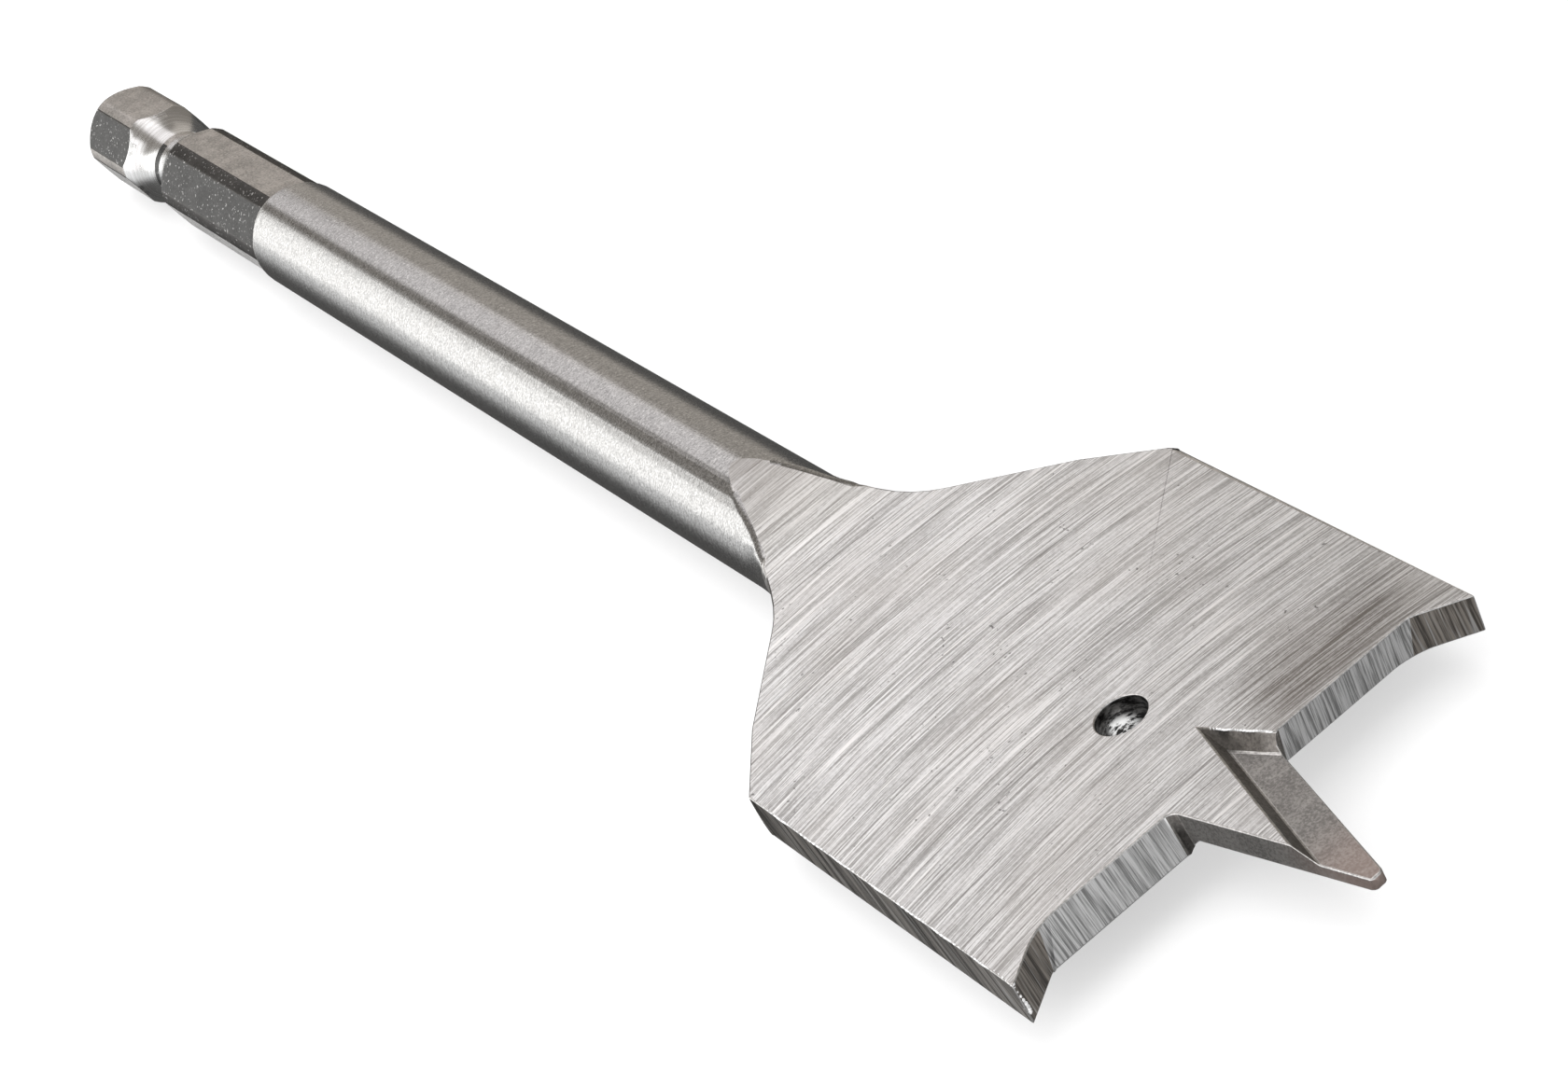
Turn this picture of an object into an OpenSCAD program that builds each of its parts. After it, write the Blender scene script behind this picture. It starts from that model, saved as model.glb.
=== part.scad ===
// Spade drill bit, forged and ground from one steel bar.
// The bit's axis lies along X with the point towards +X, and the blade's flat faces look up and down.
// The origin is on the axis at the rear end of the shank. Sizes are in millimetres.

/* [Bit] */
// Diameter of the hole that the bit bores
bore_d = 28; // [24:0.5:36]
// Length from the shank's rear end to the tip of the centre point
total_l = 152; // [148:1:200]

/* [Shank] */
// Hexagon across its flats
hex_af = 6.35; // [6.2:0.05:6.4]
// Hexagon across its turned corners
hex_corner_d = 6.9; // [6.7:0.05:7]
// Turn of the hexagon about the axis, from flats square with the blade's faces
hex_turn = 15; // [0:1:30]
// Length of the hexagonal shank
hex_l = 31.4; // [28:0.1:36]
// Diameter of the flat rear end face
end_d = 5.2; // [4.4:0.1:6]
// Length of the chamfer round the rear end
end_chamfer = 1.6; // [0.8:0.1:2.4]
// Distance from the rear end to the locking groove
groove_x = 8.2; // [6.5:0.1:9.5]
// Width of the locking groove at the hexagon's corners
groove_w = 7.3; // [5.5:0.1:8]
// Smallest diameter in the locking groove
groove_d = 4.6; // [4:0.1:5.2]

/* [Shaft] */
// Diameter of the round shaft
shaft_d = 7; // [7:0.1:8]
// Depth of the chamfer where the shaft meets the hexagon
shaft_chamfer = 0.4; // [0.3:0.05:0.6]
// Length of that chamfer along the axis
shaft_chamfer_l = 0.8; // [0.5:0.1:1.5]

/* [Neck] */
// Distance of the neck's inner corner, before its fillet, behind the cutting lips
neck_back = 36.2; // [35:0.2:40]
// Angle of the neck's flare to the axis
neck_angle = 40; // [36:1:45]
// Fillet radius between the shaft and the flare
neck_fillet = 11.5; // [8:0.5:14]
// Width of the blade where the flare turns into the shoulder
flare_w = 21.9; // [19:0.1:22.5]
// Angle of the shoulder to the axis
shoulder_angle = 33.5; // [30:0.5:38]
// Radius of the blade's two rear corners
shoulder_r = 1.6; // [0.8:0.1:2.4]
// Distance of the start of the flattening behind the cutting lips
flat_back = 46.9; // [45:0.2:50]
// Height of the flattening's round crown above the shaft
crown_lift = 0.1; // [0.05:0.05:0.3]
// Radius of the round crown, seen from the side
crown_r = 24; // [20:1:28]
// Steepest slope of the flattening
crown_slope = 22; // [20:1:24]

/* [Blade] */
// Thickness of the blade
blade_t = 2.2; // [1.8:0.1:2.6]
// Relief angle behind each cutting lip
lip_relief = 14; // [8:1:18]
// Relief angle behind each ground side of the blade
side_relief = 3.5; // [1:0.5:6]
// Diameter of the cross hole in the blade
hole_d = 2.75; // [2:0.05:3.5]
// Distance of the cross hole behind the cutting lips
hole_back = 8.3; // [6.5:0.1:12]

/* [Spurs and point] */
// Width of each outer spur
spur_w = 2.5; // [1.8:0.1:3.5]
// Height of each outer spur above the lip
spur_h = 1.9; // [1:0.1:2.6]
// Relief angle behind each spur's cutting edge
spur_relief = 4; // [1:1:10]
// Length of the centre point from the lips to its tip
point_l = 11.7; // [10:0.1:14]
// Width of the centre point at the lips
point_w = 5.8; // [5:0.1:7]
// Width of the blunt tip
tip_w = 0.2; // [0.1:0.1:1]
// Radius between the lip and the centre point
point_fillet = 0.6; // [0.3:0.1:1]
// Lean of the centre point's side faces towards their own face of the blade
point_relief = 3; // [0:1:8]
// Thickness left between the two ground hollows of the centre point
web_t = 0.68; // [0.4:0.02:1]
// Distance of each hollow's inner corner behind the lips
hollow_back = 1.8; // [1:0.1:2.5]
// Distance of each hollow's inner corner from the axis
hollow_side = 1.5; // [1:0.1:2]
// Direction of each hollow's rear wall, measured from the axis
hollow_angle = 24; // [18:1:30]
// Lean of the hollow's rear wall from upright
hollow_rear_lean = 42; // [10:1:50]
// Lean of the hollow's long wall from upright
hollow_long_lean = 36; // [10:1:45]

/* [Hidden] */
round_n = 96;
bore_r = bore_d / 2;
shaft_r = shaft_d / 2;
corner_r = hex_corner_d / 2;
half_t = blade_t / 2;
lip_x = total_l - point_l;
reach = bore_d + point_l;

// Groove: an arc through both of its rims and its smallest diameter
groove_depth = corner_r - groove_d / 2;
groove_r = (groove_w * groove_w / 4 + groove_depth * groove_depth) / (2 * groove_depth);

// Neck, seen from above: shaft, fillet, flare, shoulder and the rounded rear corner
neck_x = lip_x - neck_back;
neck_tangent = neck_fillet * tan(neck_angle / 2);
flare_r = flare_w / 2;
flare_x = neck_x + (flare_r - shaft_r) / tan(neck_angle);
rim_r = norm([bore_r, half_t]);
rim_x = flare_x + (rim_r - flare_r) / tan(shoulder_angle);
rim_tangent = shoulder_r * tan(shoulder_angle / 2);

// Flattening, seen from the side: a round crown, then a hollow sweep down to the blade
crown_x = lip_x - flat_back;
crown_z = shaft_r + crown_lift;
sweep_x = crown_x + crown_r * sin(crown_slope);
sweep_z = crown_z - crown_r * (1 - cos(crown_slope));
sweep_r = (sweep_z - half_t) / (1 - cos(crown_slope));
flat_x = sweep_x + sweep_r * sin(crown_slope);

// Front: the point's half angle, its fillet's tangent length, and where the cutting edge turns up to the spur
point_half = atan((point_w - tip_w) / 2 / point_l);
point_tangent = point_fillet / tan((90 + point_half) / 2);
spur_x = lip_x + half_t * tan(lip_relief);
spur_y = bore_r - spur_w;

// Turns a half section (radius, distance along the axis) into a body round the X axis
module turned() {
    rotate([0, 90, 0])
        rotate_extrude($fn = round_n)
            children();
}

// Hexagonal shank: turned corners, chamfered rear end, round locking groove
module shank() {
    intersection() {
        rotate([hex_turn, 0, 0])
            rotate([0, 90, 0])
                cylinder(d = hex_af / cos(30), h = hex_l + shaft_chamfer_l, $fn = 6);
        turned()
            difference() {
                polygon([
                    [0, 0],
                    [end_d / 2, 0],
                    [corner_r, end_chamfer],
                    [corner_r, hex_l + shaft_chamfer_l],
                    [0, hex_l + shaft_chamfer_l]
                ]);
                translate([groove_d / 2 + groove_r, groove_x + groove_w / 2])
                    circle(r = groove_r, $fn = round_n);
            }
    }
}

// Half section of the shaft and of the blade's outline seen from above
module outline() {
    polygon([
        [0, hex_l],
        [shaft_r - shaft_chamfer, hex_l],
        [shaft_r, hex_l + shaft_chamfer_l],
        [shaft_r, neck_x],
        [flare_r, flare_x],
        [rim_r - rim_tangent * sin(shoulder_angle), rim_x - rim_tangent * cos(shoulder_angle)],
        [rim_r, rim_x + rim_tangent],
        [rim_r, total_l],
        [0, total_l]
    ]);
    translate([rim_r - shoulder_r, rim_x + rim_tangent])
        circle(r = shoulder_r, $fn = round_n);
    difference() {
        polygon([
            [0, neck_x - neck_tangent],
            [shaft_r, neck_x - neck_tangent],
            [shaft_r + neck_tangent * sin(neck_angle), neck_x + neck_tangent * cos(neck_angle)],
            [0, neck_x + neck_tangent * cos(neck_angle)]
        ]);
        translate([shaft_r + neck_fillet, neck_x - neck_tangent])
            circle(r = neck_fillet, $fn = round_n);
    }
}

// Upper part of the side view: shaft, round crown, hollow sweep and blade
module side_view() {
    translate([0, -half_t])
        square([total_l, blade_t]);
    square([crown_x, crown_z]);
    intersection() {
        translate([crown_x, crown_z - crown_r])
            circle(r = crown_r, $fn = round_n);
        translate([crown_x - shaft_r, 0])
            square([sweep_x - crown_x + shaft_r, crown_z]);
    }
    difference() {
        translate([crown_x, 0])
            square([flat_x - crown_x, sweep_z]);
        translate([flat_x, half_t + sweep_r])
            circle(r = sweep_r, $fn = round_n);
    }
}

// Shaft and blade before their front is ground
module blank() {
    intersection() {
        turned()
            outline();
        rotate([90, 0, 0])
            linear_extrude(height = 2 * reach, center = true) {
                side_view();
                mirror([0, 1])
                    side_view();
            }
    }
}

// Plan of what is ground away before one lip, from the centre point outwards
module lip_plan() {
    beyond = 2 * point_l;
    polygon([
        [0, point_w / 2 + point_tangent],
        [0, reach],
        [beyond, reach],
        [beyond, point_w / 2 - beyond * tan(point_half)],
        [point_tangent * cos(point_half), point_w / 2 - point_tangent * sin(point_half)]
    ]);
    translate([point_fillet, point_w / 2 + point_tangent])
        circle(r = point_fillet, $fn = round_n);
}

// Plan of everything before the line of one spur
module spur_plan() {
    spread = reach / spur_w;
    polygon([
        [-spread * spur_h, -reach],
        [spread * spur_h, reach],
        [2 * reach, reach],
        [2 * reach, -reach]
    ]);
}

// Grinding of one lip and its spur, each with its own relief
module lip_grind() {
    intersection() {
        translate([lip_x, 0, 0])
            rotate([-point_relief, lip_relief, 0])
                linear_extrude(height = reach, center = true)
                    lip_plan();
        translate([spur_x, spur_y, half_t])
            rotate([0, spur_relief, 0])
                linear_extrude(height = reach, center = true)
                    spur_plan();
    }
}

// Grinding of one side of the blade
module side_grind() {
    translate([0, bore_r, half_t])
        rotate([-side_relief, 0, 0])
            translate([flat_x, 0, -reach / 2])
                cube([total_l, reach, reach]);
}

// Hollow ground into one face of the centre point, along its cutting edge
module hollow_grind() {
    translate([lip_x - hollow_back, hollow_side, web_t / 2])
        intersection() {
            translate([-reach, -reach, 0])
                cube([2 * reach, 2 * reach, reach]);
            rotate([0, 0, -point_half])
                rotate([hollow_long_lean, 0, 0])
                    translate([-reach, 0, -reach])
                        cube([2 * reach, reach, 2 * reach]);
            rotate([0, 0, hollow_angle])
                rotate([-hollow_rear_lean, 0, 0])
                    translate([-reach, -reach, -reach])
                        cube([2 * reach, reach, 2 * reach]);
        }
}

// Cross hole through the blade
module cross_hole() {
    translate([lip_x - hole_back, 0, 0])
        cylinder(d = hole_d, h = 2 * blade_t, center = true, $fn = round_n);
}

// The whole bit; both wings are ground alike, half a turn apart
module spade_bit() {
    color([0.72, 0.71, 0.7])
        difference() {
            union() {
                shank();
                blank();
            }
            for (turn = [0, 180])
                rotate([turn, 0, 0]) {
                    lip_grind();
                    side_grind();
                    hollow_grind();
                }
            cross_hole();
        }
}

spade_bit();
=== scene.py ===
import math

import bmesh
import bpy
from mathutils import Euler, Matrix, Vector
from mathutils.bvhtree import BVHTree


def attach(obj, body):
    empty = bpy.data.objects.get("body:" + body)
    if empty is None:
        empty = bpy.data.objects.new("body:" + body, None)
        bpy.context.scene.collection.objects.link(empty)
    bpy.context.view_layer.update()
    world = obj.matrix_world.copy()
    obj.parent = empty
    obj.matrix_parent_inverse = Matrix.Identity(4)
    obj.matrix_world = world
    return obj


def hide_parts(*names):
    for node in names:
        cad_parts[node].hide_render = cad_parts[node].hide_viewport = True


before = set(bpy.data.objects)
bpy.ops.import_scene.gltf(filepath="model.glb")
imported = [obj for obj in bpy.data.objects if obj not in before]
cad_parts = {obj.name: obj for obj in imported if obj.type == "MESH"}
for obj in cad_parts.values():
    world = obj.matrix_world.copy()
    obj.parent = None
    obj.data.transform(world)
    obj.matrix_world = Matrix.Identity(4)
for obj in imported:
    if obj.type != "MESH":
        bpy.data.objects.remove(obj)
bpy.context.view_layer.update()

# Places and sizes of the bit in millimetres, from the rear end of the shank and from its axis
MM = 0.001
END_FACE = 2.0
GROOVE = (8.2, 15.5)
HEX_END = 31.4
SHAFT_START = 32.2
FLAT_START = 95.0
SWEEP_END = 105.0
REAR_CORNER = 117.0
HOLE_X = 132.0
LIP_X = 140.3
HOLE_R = 1.375
SHAFT_R = 3.5
NECK_R = 3.8
HEX_FLAT_R = 3.175
WEB_Z = 0.34
SLACK = 0.05

# Direction of each pair of hexagon flats, in degrees from +Y towards +Z. All are one milled
# surface; the pair at 15 degrees is painted light and the pair at 135 degrees painted shade
HEX_FLATS = {"hex_painted_light": 15, "hex_flat": 75, "hex_painted_shade": 135}

# Reach of the surfaces round the centre point, behind and before the lips and from the axis
HOLLOW_BACK = 8.0
POINT_BACK = 4.0
POINT_Y = 3.4
WALL_FRONT = 1.0
WALL_Y = 4.0
HOLLOW_Y = 6.0
POINT_FRONT = 5.0
SPUR_BACK = 1.0

# Parts of a face's normal along an axis: square to it, steep, tilted and level with it, then
# what tells the shaft's chamfer, a hollow's rear wall and the sides of the point
SQUARE = 0.99
STEEP = 0.9
TILTED = 0.3
LEVEL = 0.02
LEANING_BACK = 0.1
REAR_WALL = (0.4, 0.95)
POINT_SIDE_LEAN = 0.45

ZONES = [
    "blade_face",
    "shaft",
    "hex_flat",
    "hex_painted_shade",
    "hex_painted_light",
    "hex_corner",
    "chamfer",
    "groove",
    "end",
    "edge_band",
    "side",
    "lip",
    "spur",
    "point_side",
    "hollow_floor",
    "hollow_wall",
    "hole",
    "edge",
    "rim",
    "burr",
]


def shank_zone(centre, normal):
    """Name of the surface of the hexagonal shank that a face belongs to."""
    x, y, z = centre
    if normal.x < -TILTED and x < END_FACE:
        return "end"
    if abs(normal.x) > LEVEL:
        return "groove" if x < GROOVE[1] + SLACK else "chamfer"
    if abs(normal.y * y + normal.z * z) > HEX_FLAT_R + SLACK:
        return "hex_corner" if x > GROOVE[0] else "hex_flat"
    turn = math.degrees(math.atan2(normal.z, normal.y)) % 180
    return min(HEX_FLATS, key=lambda name: abs(HEX_FLATS[name] - turn))


def front_zone(centre, normal):
    """Name of the ground surface at the blade's sides and front that a face belongs to."""
    x, y, _ = centre
    if x < LIP_X + WALL_FRONT and abs(y) < WALL_Y and REAR_WALL[0] < normal.x < REAR_WALL[1]:
        return "hollow_wall"
    if x > LIP_X + POINT_FRONT and abs(normal.z) < SQUARE:
        return "point_side"
    if normal.x > STEEP:
        return "lip"
    if x > LIP_X - POINT_BACK and abs(y) < POINT_Y:
        return "point_side" if abs(normal.z) < POINT_SIDE_LEAN else "hollow_wall"
    if x > LIP_X - POINT_BACK and abs(y) < HOLLOW_Y and abs(normal.z) > TILTED:
        return "hollow_wall"
    if abs(normal.y) > STEEP:
        return "side"
    return "spur" if x > LIP_X - SPUR_BACK else "edge_band"


def zone_of(centre, normal):
    """Name of the surface that a face belongs to, from its centre in mm and its normal."""
    x, y, z = centre
    across_blade = abs(normal.y) < LEVEL
    if x < HEX_END + SLACK:
        return shank_zone(centre, normal)
    if x < SHAFT_START and normal.x < -LEANING_BACK:
        return "chamfer"
    if x < FLAT_START:
        return "shaft"
    if math.hypot(x - HOLE_X, y) < HOLE_R + SLACK and abs(normal.z) < TILTED:
        return "hole"
    if x > LIP_X - HOLLOW_BACK and abs(z) < WEB_Z + SLACK and abs(normal.z) > SQUARE:
        return "hollow_floor"
    if across_blade and abs(normal.z) > (TILTED if x < SWEEP_END else STEEP):
        return "blade_face"
    if x < REAR_CORNER and abs(normal.z) < SQUARE:
        return "shaft" if math.hypot(y, z) < NECK_R else "edge_band"
    return front_zone(centre, normal)


# Nodes

VECTOR = "NodeSocketVector"
FLOAT = "NodeSocketFloat"

# Noises of the streaks: scale, detail and roughness
LINE_NOISE = (1.0, 4.0, 0.7)
BAND_NOISE = (0.21, 2.0, 0.6)
WAVE_NOISE = (0.3, 1.0, 0.5)
BREAK_NOISE = (0.55, 1.0, 0.5)

# Scratches follow the middle of a wave: its shift, its middle, their width and where they break off
WAVE_SHIFT = (31.0, 17.0, 5.0)
WAVE_MIDDLE = 0.5
SCRATCH_WIDTH = 0.035
BREAK_RANGE = (0.42, 0.6)

# Noises of the grain: detail and roughness, and two scales as shares of the speckle's
SPECKLE_NOISE = (2.0, 0.6)
MOTTLE_NOISE = (3.0, 0.6)
DOT_NOISE = (1.0, 0.5)
MOTTLE_SCALE = 0.09
DOT_SCALE = 0.7

# Flecks are the brightest dots: the dots' shift, and from where to where they turn bright
DOT_SHIFT = (7.0, 3.0, 11.0)
FLECK_RANGE = (0.64, 0.74)


class Graph:
    """A node tree being drawn; add() makes a node, sets or links its inputs, and returns it."""

    def __init__(self, tree):
        self.tree = tree
        self.tree.nodes.clear()

    def feed(self, socket, value):
        """Links an input to another node's output, or sets its value."""
        if isinstance(value, bpy.types.NodeSocket):
            self.tree.links.new(value, socket)
        else:
            socket.default_value = value

    def add(self, kind, inputs=(), **settings):
        made = self.tree.nodes.new(kind)
        for key, value in settings.items():
            setattr(made, key, value)
        for key, value in dict(inputs).items():
            self.feed(made.inputs[key], value)
        return made

    def math(self, operation, *values):
        return self.add("ShaderNodeMath", enumerate(values), operation=operation).outputs[0]

    def times(self, first, *others):
        """Product of any number of values."""
        for other in others:
            first = self.math("MULTIPLY", first, other)
        return first

    def line(self, value, slope, start):
        """The value times the slope, from the start upwards."""
        return self.math("ADD", self.times(value, slope), start)

    def blend(self, first, first_share, second, second_share):
        """Two values added up, each with its share."""
        return self.math("ADD", self.times(first, first_share), self.times(second, second_share))

    def vector(self, operation, *values):
        return self.add("ShaderNodeVectorMath", enumerate(values), operation=operation).outputs[0]

    def combine(self, x, y, z):
        return self.add("ShaderNodeCombineXYZ", {"X": x, "Y": y, "Z": z}).outputs[0]

    def separate(self, vector):
        return self.add("ShaderNodeSeparateXYZ", {"Vector": vector}).outputs

    def noise(self, vector, scale, detail, roughness):
        inputs = {"Vector": vector, "Scale": scale, "Detail": detail, "Roughness": roughness}
        return self.add("ShaderNodeTexNoise", inputs).outputs[0]

    def ramp(self, value, low, high):
        """0 below low, 1 above high, eased between them."""
        inputs = {"Value": value, "From Min": low, "From Max": high}
        made = self.add("ShaderNodeMapRange", inputs, interpolation_type="SMOOTHSTEP")
        return made.outputs[0]

    def mix(self, factor, first, second):
        """The first colour, turned into the second by the factor."""
        made = self.add("ShaderNodeMix", data_type="RGBA")
        sockets = {socket.identifier: socket for socket in made.inputs}
        self.feed(sockets["Factor_Float"], factor)
        self.feed(sockets["A_Color"], first)
        self.feed(sockets["B_Color"], second)
        return next(socket for socket in made.outputs if socket.identifier == "Result_Color")

    def cover(self, colour, *layers):
        """Lays colours over one another; each layer has its mask, its share and its colour."""
        for mask, share, over in layers:
            colour = self.mix(self.times(mask, share), colour, over)
        return colour

    def group(self, tree, **inputs):
        """Places a node group with its own values; returns what it puts out."""
        return self.add("ShaderNodeGroup", inputs, node_tree=tree).outputs


def new_group(name, inputs, outputs):
    """An empty node group with its sockets; returns its graph, what comes in and what goes out."""
    tree = bpy.data.node_groups.new(name, "ShaderNodeTree")
    graph = Graph(tree)
    for socket, kind in inputs:
        tree.interface.new_socket(socket, in_out="INPUT", socket_type=kind)
    for socket in outputs:
        tree.interface.new_socket(socket, in_out="OUTPUT", socket_type=FLOAT)
    entry = graph.add("NodeGroupInput").outputs
    leave = graph.add("NodeGroupOutput").inputs
    return graph, entry, leave


def streak_group():
    """Long thin marks across the vector's first axis: lines, broad bands and a few scratches."""
    graph, entry, leave = new_group(
        "streaks",
        [("Vector", VECTOR), ("Fineness", FLOAT), ("Length", FLOAT)],
        ["Lines", "Bands", "Scratches"],
    )
    short = graph.math("DIVIDE", 1.0, entry["Length"])
    spread = graph.combine(entry["Fineness"], short, short)
    place = graph.vector("MULTIPLY", entry["Vector"], spread)
    wave = graph.noise(graph.vector("ADD", place, WAVE_SHIFT), *WAVE_NOISE)
    from_middle = graph.math("ABSOLUTE", graph.math("SUBTRACT", wave, WAVE_MIDDLE))
    scratches = graph.ramp(from_middle, SCRATCH_WIDTH, 0.0)
    unbroken = graph.ramp(graph.noise(place, *BREAK_NOISE), *BREAK_RANGE)
    graph.feed(leave["Lines"], graph.noise(place, *LINE_NOISE))
    graph.feed(leave["Bands"], graph.noise(place, *BAND_NOISE))
    graph.feed(leave["Scratches"], graph.times(scratches, unbroken))
    return graph.tree


def grain_group():
    """Even grain of a blasted or tumbled surface: speckle, soft mottle and a few flecks."""
    graph, entry, leave = new_group(
        "grain",
        [("Vector", VECTOR), ("Size", FLOAT)],
        ["Speckle", "Mottle", "Flecks"],
    )
    place = entry["Vector"]
    scale = graph.math("DIVIDE", 1.0, entry["Size"])
    elsewhere = graph.vector("ADD", place, DOT_SHIFT)
    dots = graph.noise(elsewhere, graph.times(scale, DOT_SCALE), *DOT_NOISE)
    mottle = graph.noise(place, graph.times(scale, MOTTLE_SCALE), *MOTTLE_NOISE)
    graph.feed(leave["Speckle"], graph.noise(place, scale, *SPECKLE_NOISE))
    graph.feed(leave["Mottle"], mottle)
    graph.feed(leave["Flecks"], graph.ramp(dots, *FLECK_RANGE))
    return graph.tree


def new_material(name):
    """An empty material and its graph."""
    material = bpy.data.materials.new(name)
    material.use_nodes = True
    return material, Graph(material.node_tree)


def millimetres(graph):
    """Place in millimetres, with its origin at the rear end of the shank."""
    place = graph.add("ShaderNodeTexCoord").outputs["Object"]
    return graph.vector("MULTIPLY", place, (1 / MM,) * 3)


def along_bit(graph, start, end):
    """0 up to the start and 1 from the end on, both in mm along the bit."""
    return graph.ramp(graph.separate(millimetres(graph))["X"], start, end)


def metal(graph, colour, roughness, height, depth, metallic=1.0):
    """Ends a material as bare metal; height gives its relief, which is depth mm from 0 to 1."""
    bump = graph.add(
        "ShaderNodeBump", {"Height": height, "Strength": 1.0, "Distance": depth * MM}
    )
    inputs = {
        "Base Color": colour,
        "Metallic": metallic,
        "Roughness": roughness,
        "Normal": bump.outputs[0],
    }
    shader = graph.add("ShaderNodeBsdfPrincipled", inputs)
    graph.add("ShaderNodeOutputMaterial", {"Surface": shader.outputs[0]})


def grey(level, warmth=0.0):
    """A linear grey, a little warmer or cooler."""
    return (level * (1 + warmth), level, level * (1 - warmth), 1)


def greys(graph, factor, level, darker, lighter, warmth):
    """A grey that goes with the factor from a darker to a lighter share of its level."""
    return graph.mix(factor, grey(level * darker, warmth), grey(level * lighter, warmth))


# Materials

# Part of a tone's noise that goes from the darker to the lighter grey
TONE_RANGE = (0.35, 0.65)

# Brushing of the blade: bend of its lines, lean of its lesser lines, and the noises of its
# clouds and of the patches that have pits
BRUSH_BEND = 0.007
BRUSH_LEAN = 0.045
CLOUD_NOISE = (0.12, 2.0, 0.5)
PATCH_NOISE = (0.6, 1.0, 0.5)

# Darker brownish tint behind a leading lip: its rise and fall behind the lip, and from the axis
# outwards
TINT_RISE = (LIP_X - 6.5, LIP_X - 1.8)
TINT_FALL = (LIP_X + 1.6, LIP_X - 1.4)
TINT_INNER = (2.0, 5.5)
TINT_OUTER = (14.5, 10.5)

# Where tones change along the bit, and the tone of the tip
TONGUE_TONE = (106.0, 94.0)
FRONT_TONE = (116.0, 142.0)
# The groove's front part gets painted shade
GROOVE_PAINTED_SHADE = (12.6, 14.2)
TIP_TONE = (146.0, 151.0)
TIP_PINK = (0.56, 0.41, 0.36, 1)

# Painted highlight down in the hole: its lean, its rise down the wall and its reach across the
# blade
HOLE_GLINT_LEAN = 0.25
HOLE_GLINT_DEPTH = (0.35, -0.2)
HOLE_GLINT_LEFT = (-0.75, -0.3)
HOLE_GLINT_RIGHT = (1.15, 0.85)


def brushed_lines(graph, groups, lean, fineness, length):
    """Brushing marks of the blade, which bend slightly across it."""
    x, y, z = graph.separate(millimetres(graph))
    bend = graph.times(y, y, BRUSH_BEND)
    across = graph.math("ADD", graph.math("SUBTRACT", x, bend), graph.times(y, lean))
    place = graph.combine(across, y, z)
    return graph.group(groups["streaks"], Vector=place, Fineness=fineness, Length=length)


def lip_darkening(graph):
    """How dark the blade is tinted behind each leading lip, from 0 to 1."""
    x, y, z = graph.separate(millimetres(graph))
    wing = graph.times(y, graph.math("SIGN", z))
    behind = graph.times(graph.ramp(x, *TINT_RISE), graph.ramp(x, *TINT_FALL))
    outwards = graph.times(graph.ramp(wing, *TINT_INNER), graph.ramp(wing, *TINT_OUTER))
    return graph.times(behind, outwards)


def blade_face_material(groups):
    """Brushed face of the blade, with scratches, a few pits and a darker tint behind each leading
    lip.
    """
    material, graph = new_material("brushed_face")
    long_lines = brushed_lines(graph, groups, lean=0.0, fineness=8.0, length=10.0)
    short_lines = brushed_lines(graph, groups, lean=BRUSH_LEAN, fineness=12.0, length=4.0)
    cross_lines = brushed_lines(graph, groups, lean=-BRUSH_LEAN, fineness=9.0, length=8.0)
    grain = graph.group(groups["grain"], Vector=millimetres(graph), Size=0.17)
    cloud = graph.noise(millimetres(graph), *CLOUD_NOISE)
    patches = graph.ramp(graph.noise(millimetres(graph), *PATCH_NOISE), 0.6, 0.68)
    tone = graph.blend(long_lines["Lines"], 0.5, short_lines["Lines"], 0.5)
    mark = graph.blend(tone, 0.9, grain["Speckle"], 0.1)
    # Share of the darker tint behind each leading lip, broken up by the brushing lines
    worn = graph.line(graph.ramp(mark, 0.58, 0.42), 0.5, 0.4)
    steel = graph.cover(
        graph.mix(graph.ramp(mark, 0.41, 0.59), grey(0.33, 0.01), grey(0.9, -0.012)),
        (graph.ramp(long_lines["Bands"], 0.45, 0.75), 0.1, grey(0.5, 0.05)),
        (graph.ramp(cloud, 0.4, 0.7), 0.22, grey(0.48, 0.07)),
        (cross_lines["Scratches"], 0.65, grey(0.14, 0.06)),
        (long_lines["Scratches"], 0.7, grey(1.0)),
        (graph.times(grain["Flecks"], patches), 0.75, grey(0.05, 0.05)),
        (lip_darkening(graph), worn, grey(0.12, 0.13)),
        (along_bit(graph, *TONGUE_TONE), 0.55, grey(0.28, 0.06)),
        (along_bit(graph, *FRONT_TONE), 0.14, grey(0.3, 0.03)),
    )
    rough = graph.line(long_lines["Lines"], 0.14, 0.26)
    metal(graph, steel, rough, height=tone, depth=0.005)
    return material


def satin_material(groups, name, level, roughness, warmth=0.01, metallic=1.0):
    """Even satin metal, as left by blasting or tumbling."""
    material, graph = new_material(name)
    grain = graph.group(groups["grain"], Vector=millimetres(graph), Size=0.16)
    tone = graph.blend(grain["Speckle"], 0.8, grain["Mottle"], 0.2)
    steel = greys(graph, graph.ramp(tone, *TONE_RANGE), level, 0.75, 1.2, warmth)
    metal(graph, steel, roughness, height=grain["Speckle"], depth=0.005, metallic=metallic)
    return material


def shaft_material(groups):
    """Satin bar with very short marks round its girth."""
    material, graph = new_material("satin_shaft")
    place = millimetres(graph)
    marks = graph.group(groups["streaks"], Vector=place, Fineness=9.0, Length=0.45)
    grain = graph.group(groups["grain"], Vector=place, Size=0.12)
    tone = graph.blend(marks["Lines"], 0.5, grain["Speckle"], 0.5)
    steel = graph.cover(
        graph.mix(graph.ramp(tone, 0.38, 0.62), grey(0.28), grey(0.53)),
        (graph.ramp(grain["Mottle"], 0.5, 0.8), 0.15, grey(0.3, 0.06)),
        (grain["Flecks"], 0.4, grey(0.9)),
    )
    rough = graph.line(grain["Speckle"], 0.1, 0.18)
    metal(graph, steel, rough, height=tone, depth=0.0055)
    return material


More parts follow.
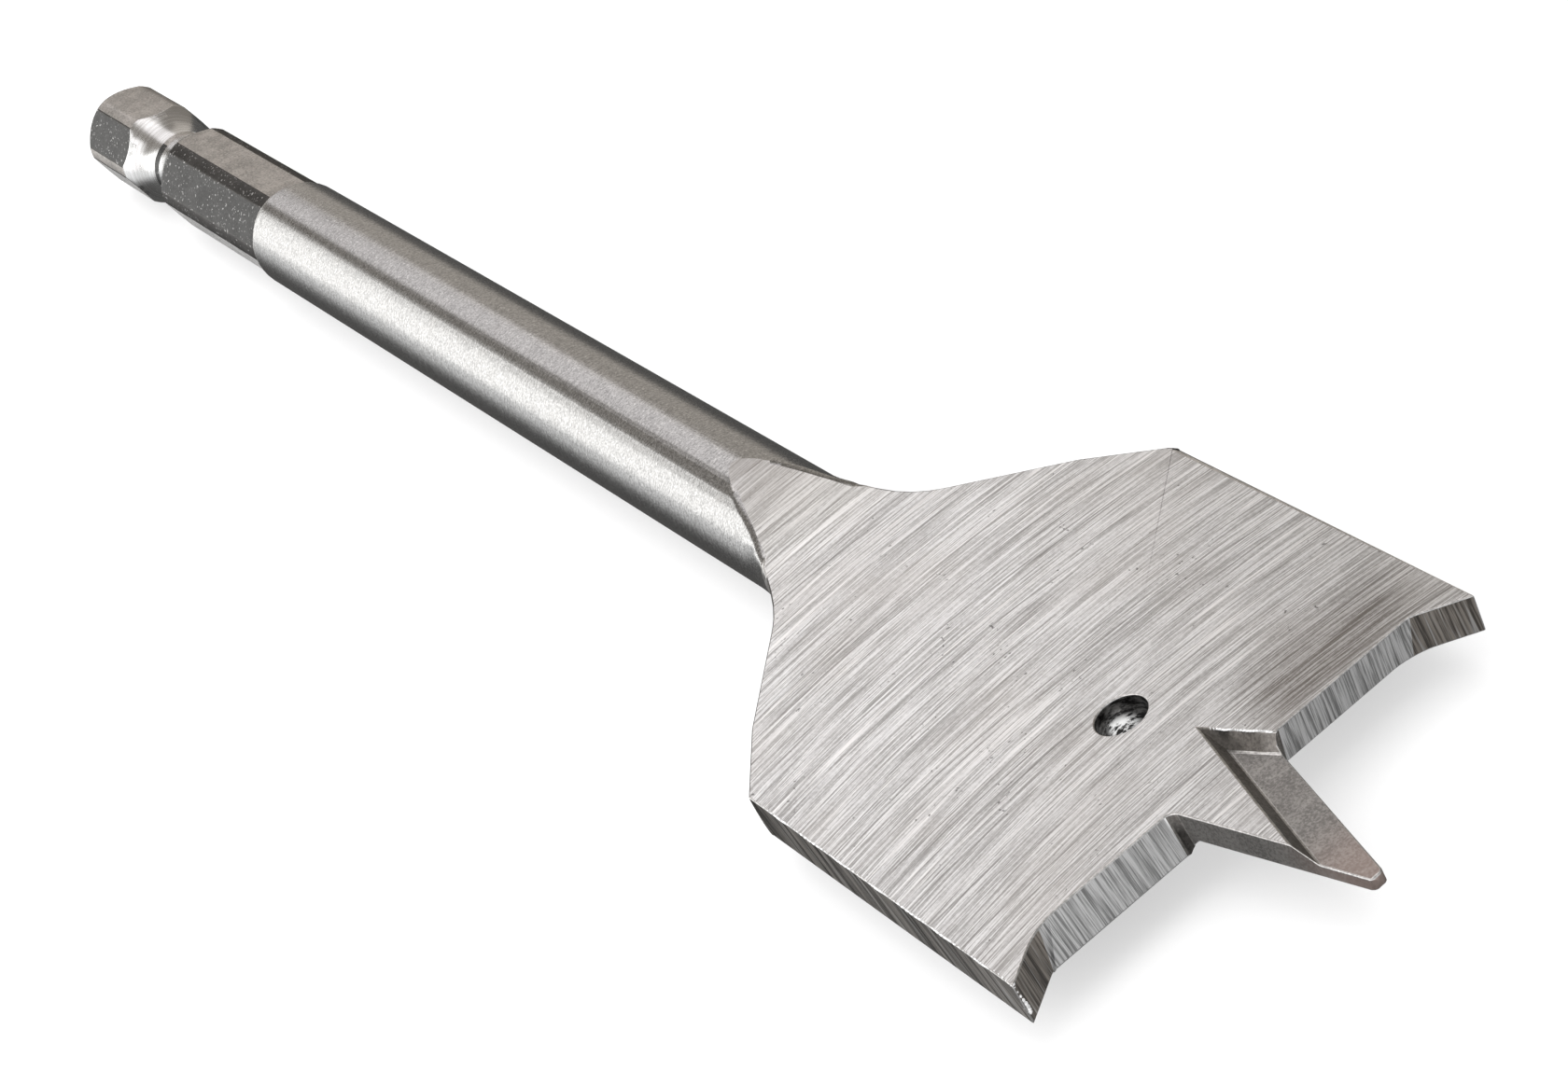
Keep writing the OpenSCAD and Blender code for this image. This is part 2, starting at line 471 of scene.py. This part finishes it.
def groove_material(groups):
    """Glossy turned groove with fine lines round its girth, and painted shade towards its front."""
    material, graph = new_material("turned_groove")
    place = millimetres(graph)
    lines = graph.group(groups["streaks"], Vector=place, Fineness=5.0, Length=6.0)["Lines"]
    steel = graph.cover(
        graph.mix(graph.ramp(lines, 0.3, 0.7), grey(0.6), grey(0.8, -0.01)),
        # Painted shade on the groove's front part
        (along_bit(graph, *GROOVE_PAINTED_SHADE), 0.85, grey(0.06, 0.02)),
    )
    metal(graph, steel, 0.24, height=lines, depth=0.001)
    return material


def hole_material(groups):
    """Torn wall of the drilled hole, with a bright painted highlight down in it."""
    material, graph = new_material("hole_wall")
    x, y, z = graph.separate(millimetres(graph))
    place = graph.combine(z, y, x)
    marks = graph.group(groups["streaks"], Vector=place, Fineness=3.5, Length=0.7)["Lines"]
    deep = graph.ramp(graph.math("ADD", z, graph.times(y, HOLE_GLINT_LEAN)), *HOLE_GLINT_DEPTH)
    within = graph.times(graph.ramp(y, *HOLE_GLINT_LEFT), graph.ramp(y, *HOLE_GLINT_RIGHT))
    # Painted highlight: white on the lower wall, broken up by the marks
    painted_glint = graph.times(deep, within, graph.ramp(marks, 0.4, 0.52))
    torn = graph.mix(graph.ramp(marks, 0.4, 0.65), grey(0.03, 0.02), grey(0.3, 0.02))
    steel = graph.mix(painted_glint, torn, grey(1.0))
    metal(graph, steel, 0.3, height=marks, depth=0.03)
    return material


def worn_point_material(groups, name, level, warmth, pink):
    """Smooth worn side of the centre point, warmer towards the tip."""
    material, graph = new_material(name)
    place = millimetres(graph)
    grain = graph.group(groups["grain"], Vector=place, Size=0.13)
    marks = graph.group(groups["streaks"], Vector=place, Fineness=2.0, Length=1.5)
    tone = graph.blend(grain["Mottle"], 0.3, grain["Speckle"], 0.7)
    steel = graph.cover(
        greys(graph, graph.ramp(tone, *TONE_RANGE), level, 0.7, 1.3, warmth),
        (along_bit(graph, *TIP_TONE), pink, TIP_PINK),
        (marks["Scratches"], 0.12, grey(0.8, 0.03)),
    )
    metal(graph, steel, 0.42, height=grain["Speckle"], depth=0.004)
    return material


def milled_material(groups, name, level, fleck, warmth=0.0, roughness=0.45):
    """Milled or scaled metal with bright flecks; two pairs of hexagon flats use it as painted light
    and painted shade.
    """
    material, graph = new_material(name)
    grain = graph.group(groups["grain"], Vector=millimetres(graph), Size=0.14)
    tone = graph.blend(grain["Speckle"], 0.6, grain["Mottle"], 0.4)
    steel = graph.cover(
        greys(graph, graph.ramp(tone, *TONE_RANGE), level, 0.65, 1.25, warmth),
        (grain["Flecks"], fleck, grey(0.8)),
    )
    metal(graph, steel, roughness, height=grain["Speckle"], depth=0.01)
    return material


def ground_material(
    groups,
    name,
    axes,
    level,
    spread,
    warmth=0.0,
    roughness=0.35,
    fineness=8.0,
    lean=0.0,
    depth=0.006,
):
    """A surface with grinding marks; axes orders x, y, z so that the first runs across them."""
    material, graph = new_material(name)
    parts = graph.separate(millimetres(graph))
    across, *along = [parts[axis] for axis in axes]
    across = graph.math("ADD", across, graph.times(parts["Z"], lean))
    place = graph.combine(across, *along)
    marks = graph.group(groups["streaks"], Vector=place, Fineness=fineness, Length=5.0)
    tone = graph.blend(marks["Lines"], 0.7, marks["Bands"], 0.3)
    steel = graph.cover(
        greys(graph, graph.ramp(tone, 0.4, 0.6), level, 1 - spread, 1 + spread, warmth),
        (marks["Scratches"], 0.6, grey(0.85)),
    )
    metal(graph, steel, roughness, height=marks["Lines"], depth=depth)
    return material


def zone_materials():
    """One material for each zone, in the zones' order."""
    groups = {"streaks": streak_group(), "grain": grain_group()}
    across = ("Y", "Z", "X")
    along = ("X", "Y", "Z")
    made = {
        "blade_face": blade_face_material(groups),
        "shaft": shaft_material(groups),
        "hex_flat": milled_material(groups, "milled_flat", level=0.46, fleck=0.3, warmth=0.045),
        # The darker and the lighter hexagon flats are one milled surface, given painted shade and
        # painted light
        "hex_painted_shade": milled_material(groups, "painted_shade_flat", level=0.052, fleck=0.45),
        "hex_painted_light": milled_material(groups, "painted_light_flat", level=0.85, fleck=0.2, roughness=0.65),
        "hex_corner": milled_material(groups, "dark_corner", level=0.06, fleck=0.6, warmth=0.04),
        "chamfer": satin_material(groups, "turned_chamfer", level=0.7, roughness=0.25),
        "groove": groove_material(groups),
        "end": milled_material(groups, "turned_end", level=0.4, fleck=0.3, warmth=0.02),
        "edge_band": ground_material(
            groups, "edge_band", across, level=0.45, spread=0.3, warmth=0.02
        ),
        "side": ground_material(
            groups,
            "ground_side",
            along,
            level=0.26,
            spread=0.9,
            warmth=0.06,
            roughness=0.45,
            fineness=6.0,
            lean=0.7,
            depth=0.03,
        ),
        "lip": ground_material(groups, "ground_lip", across, level=0.72, spread=0.55),
        "spur": ground_material(groups, "ground_spur", across, level=0.29, spread=0.6, warmth=0.1),
        "point_side": worn_point_material(groups, "point_side", level=0.26, warmth=0.04, pink=0.5),
        "hollow_floor": worn_point_material(
            groups, "hollow_floor", level=0.285, warmth=0.03, pink=0.35
        ),
        # The hollow's walls are painted dark grey as painted shade in the recess
        "hollow_wall": satin_material(
            groups, "hollow_wall", level=0.2, roughness=0.45, warmth=0.06
        ),
        "hole": hole_material(groups),
        "edge": satin_material(groups, "worn_edge", level=0.6, roughness=0.3),
        "rim": satin_material(groups, "dark_rim", level=0.1, roughness=0.45, warmth=0.03),
        # Burrs are real bits of metal; their near white, barely metallic colour is a painted glint
        "burr": satin_material(
            groups, "burr_painted_glint", level=0.8, roughness=0.5, warmth=0.0, metallic=0.2
        ),
    }
    return [made[zone] for zone in ZONES]


# The bit; its sizes are in millimetres

# Points closer than this are one point; faces that meet below this angle in degrees are one face
WELD = 0.004
FLAT_BELOW = 0.2

# Rounded edges: width, the angle in degrees from which an edge is rounded, and the angle from
# which it stays sharp in the shading
BEVEL = 0.08
BEVEL_ABOVE = 20
SHARP_ABOVE = 8

# Their looks: how far the groove's reach past it, and where the neck and shoulder have a dark rim
BEVEL_REACH = 0.3
RIM = (103.0, 118.4)
RIM_Y = 3.7

# How far a rounded edge's points may stray outside the solid, and up to where that is mended
STRAY = 0.02
STRAY_END = 138.0

# Inner corner between lip and spur: width of its rounding, its steps, the share of it that is
# left at its leading end, how far out it lies, and the lean from which it looks like the spur
SPUR_FILLET = 1.1
SPUR_STEPS = 6
SPUR_NARROW = 0.15
SPUR_INSIDE = 8.0
SPUR_TURN = 0.3

# Flattening of the shaft, seen from the side: start, height, radius and end of its round crown
CROWN_X = 93.4
CROWN_Z = 3.6
CROWN_R = 24
CROWN_END = 99.5

# Its outline on the shaft: points added to each edge, width of its rounding, and where that starts
# from the axis and ends along the bit
TONGUE_CUTS = 4
TONGUE_BEVEL = 0.25
TONGUE_SIDE = 1.3
TONGUE_END = 103.0

# Worn tip: how far its corners are taken off, the length that this reaches, how close to a cut a
# point lies on it, and the direction of each cut
TIP_WEAR = 0.12
TIP_REACH = 0.4
TIP_CLOSE = 0.00001
TIP_CUTS = [
    (0.5, 0.87, 0),
    (0.5, -0.87, 0),
    (0.87, 0.5, 0),
    (0.87, -0.5, 0),
    (0.8, 0, 0.6),
    (0.8, 0, -0.6),
]

# Burrs left by grinding: start, end, number of bits, length and girth of each bit
BURRS = [
    ((137.2, 1.67, 1.08), (140.5, 3.14, 1.08), 26, 0.16, 0.1),
    ((137.2, -1.67, -1.08), (140.5, -3.14, -1.08), 26, 0.16, 0.1),
    ((140.4, -13.76, 1.06), (142.0, -13.76, 1.06), 6, 0.14, 0.12),
    ((142.08, -13.76, 1.02), (142.34, -13.82, -0.6), 8, 0.15, 0.15),
    ((118.8, -13.83, 1.09), (140.4, -13.83, 1.09), 70, 0.25, 0.07),
]

# Unevenness of the burrs: steps of the sines for shift and size, the shift along the row, the
# least and the added size, and what the size is taken from for the thickness
BURR_SHIFT_STEP = 12.9898
BURR_SIZE_STEP = 78.233
BURR_SHIFT = 0.9
BURR_LEAST = 0.3
BURR_MORE = 0.9
BURR_THICK = 1.3


def merged_copy(source):
    """A welded copy of the CAD mesh with its flat areas joined into whole faces."""
    mesh = bmesh.new()
    mesh.from_mesh(source.data)
    bmesh.ops.remove_doubles(mesh, verts=mesh.verts, dist=WELD * MM)
    bmesh.ops.dissolve_limit(
        mesh,
        angle_limit=math.radians(FLAT_BELOW),
        verts=mesh.verts,
        edges=mesh.edges,
    )
    bmesh.ops.recalc_face_normals(mesh, faces=mesh.faces)
    return mesh


def wear_tip(mesh):
    """Cuts the corners off the blunt tip, so that it ends round."""
    for lean in TIP_CUTS:
        normal = Vector(lean).normalized()
        front = max(vert.co.x for vert in mesh.verts)
        ends = [vert for vert in mesh.verts if vert.co.x > front - TIP_REACH * MM]
        faces = {face for vert in ends for face in vert.link_faces}
        edges = {edge for face in faces for edge in face.edges}
        verts = {vert for face in faces for vert in face.verts}
        corner = max((vert.co for vert in ends), key=lambda place: place.dot(normal))
        cut = bmesh.ops.bisect_plane(
            mesh,
            geom=[*faces, *edges, *verts],
            dist=TIP_CLOSE * MM,
            plane_co=corner - normal * TIP_WEAR * MM,
            plane_no=normal,
            clear_outer=True,
        )
        rim = [part for part in cut["geom_cut"] if isinstance(part, bmesh.types.BMEdge)]
        bmesh.ops.contextual_create(mesh, geom=rim)
    bmesh.ops.recalc_face_normals(mesh, faces=mesh.faces)


def paint(face, zone):
    """Gives a face its zone's material."""
    face.material_index = ZONES.index(zone)


def zones_beside(edge):
    """Zones of the faces at an edge."""
    return {ZONES[face.material_index] for face in edge.link_faces}


def zones_apart(edge, degrees):
    """Whether an edge parts two zones at more than that angle."""
    return len(zones_beside(edge)) > 1 and edge.calc_face_angle(0) > math.radians(degrees)


def edges_between(mesh, first, second):
    """Edges that part one zone from another."""
    return [edge for edge in mesh.edges if zones_beside(edge) == {first, second}]


def round_edges(mesh, edges, offset, segments=2):
    """Rounds edges by that many mm; returns the new faces, tagged."""
    made = bmesh.ops.bevel(
        mesh,
        geom=edges,
        offset=offset * MM,
        offset_type="OFFSET",
        segments=segments,
        profile=0.5,
        affect="EDGES",
        clamp_overlap=False,
        material=-1,
    )
    for face in made["faces"]:
        face.smooth = True
        face.tag = True
    return made["faces"]


def fillet_spurs(mesh):
    """Rounds the inner corner of lip and spur, less and less towards its leading end."""
    corners = [
        edge
        for edge in edges_between(mesh, "lip", "spur")
        if min(abs(vert.co.y) for vert in edge.verts) > SPUR_INSIDE * MM
    ]
    ends = [vert.co.copy() for edge in corners for vert in edge.verts]
    leading = [end for end in ends if end.y * end.z > 0]
    made = round_edges(mesh, corners, SPUR_FILLET, SPUR_STEPS)
    for vert in {vert for face in made for vert in face.verts}:
        if vert.co.y * vert.co.z > 0:
            corner = min(leading, key=lambda place: (place - vert.co).length)
            vert.co = corner.lerp(vert.co, SPUR_NARROW)
    mesh.normal_update()
    for face in made:
        paint(face, "spur" if abs(face.normal.y) > SPUR_TURN else "lip")


def refine_tongue(mesh):
    """Adds points to the flattening's outline on the shaft, on the line where both meet."""
    outline = [
        edge
        for edge in edges_between(mesh, "blade_face", "shaft")
        if max(vert.co.x for vert in edge.verts) < CROWN_END * MM
    ]
    made = bmesh.ops.subdivide_edges(mesh, edges=outline, cuts=TONGUE_CUTS)
    for vert in (part for part in made["geom_inner"] if isinstance(part, bmesh.types.BMVert)):
        y = vert.co.y / MM
        z = math.sqrt(SHAFT_R**2 - y**2)
        x = CROWN_X + math.sqrt(CROWN_R**2 - (z - CROWN_Z + CROWN_R) ** 2)
        vert.co = Vector((x, y, math.copysign(z, vert.co.z))) * MM


def round_tongue(mesh):
    """Wears the sides of the flattening's outline round."""
    sides = [
        edge
        for edge in edges_between(mesh, "blade_face", "shaft")
        if max(vert.co.x for vert in edge.verts) < TONGUE_END * MM
        and min(abs(vert.co.y) for vert in edge.verts) > TONGUE_SIDE * MM
    ]
    for face in round_edges(mesh, sides, TONGUE_BEVEL):
        paint(face, "shaft")


def pull_in(mesh, source):
    """Brings points that the rounding has thrown outside the CAD surface back onto it."""
    corners = [vert.co for vert in source.data.vertices]
    cad = BVHTree.FromPolygons(corners, [face.vertices for face in source.data.polygons])
    for vert in mesh.verts:
        place, normal, _, _ = cad.find_nearest(vert.co)
        outside = (vert.co - place).dot(normal)
        if vert.co.x < STRAY_END * MM and outside > STRAY * MM:
            vert.co = place


def bevel_zone(centre):
    """Zone of a rounded edge, from its centre in mm."""
    if GROOVE[0] - BEVEL_REACH < centre.x < GROOVE[1] + BEVEL_REACH:
        return "groove"
    if centre.x < HEX_END - BEVEL_REACH:
        return "hex_corner"
    return "rim" if RIM[0] < centre.x < RIM[1] and abs(centre.y) > RIM_Y else "edge"


def round_all(mesh, source):
    """Rounds the edges between zones slightly, and leaves those not rounded sharp to the eye."""
    edges = [edge for edge in mesh.edges if zones_apart(edge, BEVEL_ABOVE)]
    made = round_edges(mesh, edges, BEVEL)
    pull_in(mesh, source)
    for face in made:
        paint(face, bevel_zone(face.calc_center_median() / MM))
    for edge in mesh.edges:
        edge.smooth = not zones_apart(edge, SHARP_ABOVE)
    for edge in (edge for face in mesh.faces if face.tag for edge in face.edges):
        edge.smooth = True


def add_burr(mesh, start, end, count, length, girth):
    """A row of small irregular bits of metal along an edge."""
    along = end - start
    turn = along.to_track_quat("X", "Z").to_matrix().to_4x4()
    for step in range(count):
        share = (step + 0.5 + BURR_SHIFT * math.sin(step * BURR_SHIFT_STEP)) / count
        grow = BURR_LEAST + BURR_MORE * math.sin(step * BURR_SIZE_STEP) ** 2
        size = Matrix.Diagonal((length * grow, girth * grow, girth * (BURR_THICK - grow), 1))
        place = Matrix.Translation((start + along * share) * MM) @ turn @ size
        made = bmesh.ops.create_icosphere(mesh, subdivisions=1, radius=MM, matrix=place)
        for face in {face for vert in made["verts"] for face in vert.link_faces}:
            face.smooth = True
            paint(face, "burr")


def add_object(name, mesh, materials):
    """Ends a mesh as an object of the scene."""
    data = bpy.data.meshes.new(name)
    mesh.to_mesh(data)
    mesh.free()
    for material in materials:
        data.materials.append(material)
    made = bpy.data.objects.new(name, data)
    bpy.context.scene.collection.objects.link(made)
    return made


def build_bit(source):
    """The finished bit: the CAD shape with worn edges, burrs and a material for each zone."""
    mesh = merged_copy(source)
    wear_tip(mesh)
    for face in mesh.faces:
        face.smooth = True
        paint(face, zone_of(face.calc_center_median() / MM, face.normal))
    fillet_spurs(mesh)
    refine_tongue(mesh)
    round_tongue(mesh)
    round_all(mesh, source)
    for start, end, *sizes in BURRS:
        add_burr(mesh, Vector(start), Vector(end), *sizes)
    bit = add_object("spade_bit_finish", mesh, zone_materials())
    normals = bit.modifiers.new("normals", "WEIGHTED_NORMAL")
    normals.keep_sharp = True
    return bit


# Stage; its sizes are in metres

# Camera: place, turn in degrees, lens in mm, the reach of its view, and its sensor's width in mm
CAMERA_AT = (0.297163, -0.052577, 0.121600)
CAMERA_TURN = (55.0442, 26.7939, 57.8703)
CAMERA_LENS = 103.929
CAMERA_REACH = (0.01, 100)
SENSOR_W = 36

WHITE = (1, 1, 1, 1)
FLOOR_SIZE = 6
FLOOR_COLOUR = (0.92, 0.92, 0.92, 1)
FLOOR_GLOW = 0.5

# Floor as the metal mirrors it, a glowing painted reflection: painted shadow near the bit, darker
# grey painted shade before it, white beside the shaft and painted light under the hole; tones, and
# where they change, in mm
FLOOR_NEAR_PAINTED_SHADOW = (0.1, 0.098, 0.095, 1)
FLOOR_LEFT_MIRRORED = (1, 1, 0.99, 1)
FLOOR_FRONT_MIRRORED = (0.38, 0.38, 0.38, 1)
FLOOR_FRONT_X = (100.0, 160.0)
FLOOR_LEFT_X = (112.0, 98.0)
FLOOR_LEFT_Y = (-6.5, -19.0)
FLOOR_UNDER_HOLE = (135.5, 0.8, -3.5)
FLOOR_UNDER_HOLE_R = (5.0, 2.5)

# Room as the metal mirrors it: its tones behind and before the bit, and the parts of a direction
# along X between which one turns into the other
ROOM_COLOUR = (0.27, 0.245, 0.215, 1)
ROOM_FRONT_COLOUR = (0.65, 0.65, 0.65, 1)
ROOM_FRONT = (0.1, 0.6)

# Place that the softboxes face
AIM = Vector((0.09, 0, 0))

# Softboxes: azimuth from behind the bit towards its right, elevation, distance, width, height,
# brightness, colour, seen in the metal
SOFTBOXES = {
    "back_softbox": (9, 49, 0.7, 0.29, 0.78, 0.95, (1, 0.975, 0.995), True),
    "right_card": (30, 14, 0.7, 0.32, 0.36, 0.3, (1, 0.93, 0.85), True),
    "left_softbox": (-32, 8, 0.7, 0.49, 0.46, 1.9, (1, 1, 0.99), True),
    "side_softbox": (-85, 26, 0.7, 0.8, 0.9, 1.4, (1, 0.99, 1), True),
    "top_softbox": (60, 74, 0.7, 0.5, 0.5, 0.5, (1, 0.98, 0.96), True),
    "front_softbox": (-152, 24, 0.9, 1.3, 0.6, 0.5, (1, 1, 1), True),
    "top_fill": (0, 85, 1.2, 1.4, 1.4, 0.8, (1, 1, 1), False),
}


def add_camera():
    """Camera at the photograph's viewing angle."""
    camera = bpy.data.objects.new("camera", bpy.data.cameras.new("camera"))
    camera.location = CAMERA_AT
    camera.rotation_euler = Euler([math.radians(turn) for turn in CAMERA_TURN])
    camera.data.lens = CAMERA_LENS
    camera.data.sensor_width = SENSOR_W
    camera.data.sensor_fit = "HORIZONTAL"
    camera.data.clip_start, camera.data.clip_end = CAMERA_REACH
    bpy.context.scene.collection.objects.link(camera)
    bpy.context.scene.camera = camera


def painted_floor_reflection(graph):
    """Painted reflection of the floor: painted shadow near the bit, painted shade before it, white
    beside the shaft and painted light under the hole.
    """
    place = millimetres(graph)
    x, y, _ = graph.separate(place)
    left = graph.times(graph.ramp(y, *FLOOR_LEFT_Y), graph.ramp(x, *FLOOR_LEFT_X))
    beside = graph.vector("SUBTRACT", place, FLOOR_UNDER_HOLE)
    away = graph.add("ShaderNodeVectorMath", {0: beside}, operation="LENGTH").outputs["Value"]
    seen = graph.mix(graph.ramp(x, *FLOOR_FRONT_X), FLOOR_NEAR_PAINTED_SHADOW, FLOOR_FRONT_MIRRORED)
    seen = graph.mix(left, seen, FLOOR_LEFT_MIRRORED)
    return graph.mix(graph.ramp(away, *FLOOR_UNDER_HOLE_R), seen, FLOOR_LEFT_MIRRORED)


def floor_material():
    """Pale for the camera and for the light; where the metal mirrors it, it glows with a painted
    reflection of its own.
    """
    material, graph = new_material("floor")
    path = graph.add("ShaderNodeLightPath").outputs
    pale = graph.add("ShaderNodeBsdfDiffuse", {"Color": FLOOR_COLOUR})
    # Glossy rays see this glowing painted reflection instead of the lit floor
    mirrored = graph.add("ShaderNodeEmission", {"Color": painted_floor_reflection(graph), "Strength": 1.0})
    surface = graph.add(
        "ShaderNodeMixShader",
        {0: path["Is Glossy Ray"], 1: pale.outputs[0], 2: mirrored.outputs[0]},
    )
    glow = graph.add("ShaderNodeEmission", {"Color": WHITE, "Strength": 1.0})
    lit = graph.times(path["Is Camera Ray"], FLOOR_GLOW)
    surface = graph.add(
        "ShaderNodeMixShader", {0: lit, 1: surface.outputs[0], 2: glow.outputs[0]}
    )
    graph.add("ShaderNodeOutputMaterial", {"Surface": surface.outputs[0]})
    return material


def add_floor(height):
    """A wide floor at that height."""
    mesh = bmesh.new()
    bmesh.ops.create_grid(mesh, x_segments=1, y_segments=1, size=FLOOR_SIZE / 2)
    bmesh.ops.translate(mesh, verts=mesh.verts, vec=(0, 0, height))
    floor = add_object("floor", mesh, [floor_material()])


def add_world():
    """White for the camera and the floor; the metal mirrors a room that is dim behind the bit."""
    world = bpy.data.worlds.new("room")
    bpy.context.scene.world = world
    world.use_nodes = True
    graph = Graph(world.node_tree)
    path = graph.add("ShaderNodeLightPath").outputs
    white = graph.add("ShaderNodeBackground", {"Color": WHITE})
    way = graph.add("ShaderNodeTexCoord").outputs["Generated"]
    before = graph.ramp(graph.separate(way)["X"], *ROOM_FRONT)
    tone = graph.mix(before, ROOM_COLOUR, ROOM_FRONT_COLOUR)
    room = graph.add("ShaderNodeBackground", {"Color": tone})
    seen = graph.add(
        "ShaderNodeMixShader",
        {0: path["Is Glossy Ray"], 1: white.outputs[0], 2: room.outputs[0]},
    )
    graph.add("ShaderNodeOutputWorld", {"Surface": seen.outputs[0]})


def direction(azimuth, elevation):
    """Unit vector, with azimuth 0 behind the bit and 90 at its right, both in degrees."""
    turn, lift = math.radians(azimuth), math.radians(elevation)
    level = math.cos(lift)
    return Vector((-math.cos(turn) * level, math.sin(turn) * level, math.sin(lift)))


def add_softbox(name, azimuth, elevation, distance, width, height, brightness, colour, mirrored):
    """A rectangular light that faces the bit; brightness 1 is white where the metal mirrors it."""
    light = bpy.data.lights.new(name, "AREA")
    light.shape = "RECTANGLE"
    light.size = width
    light.size_y = height
    light.energy = brightness * math.pi * width * height
    light.color = colour
    box = bpy.data.objects.new(name, light)
    way = direction(azimuth, elevation)
    box.location = AIM + way * distance
    box.rotation_euler = way.to_track_quat("Z", "Y").to_euler()
    box.visible_glossy = mirrored
    bpy.context.scene.collection.objects.link(box)


def build():
    """Dresses the part and sets up its stage."""
    bit = build_bit(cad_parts["spade_bit"])
    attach(bit, "root")
    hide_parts("spade_bit")
    add_floor(-SHAFT_R * MM)
    add_world()
    for name, setting in SOFTBOXES.items():
        add_softbox(name, *setting)
    add_camera()


build()
bpy.context.scene.view_settings.view_transform = "Standard"
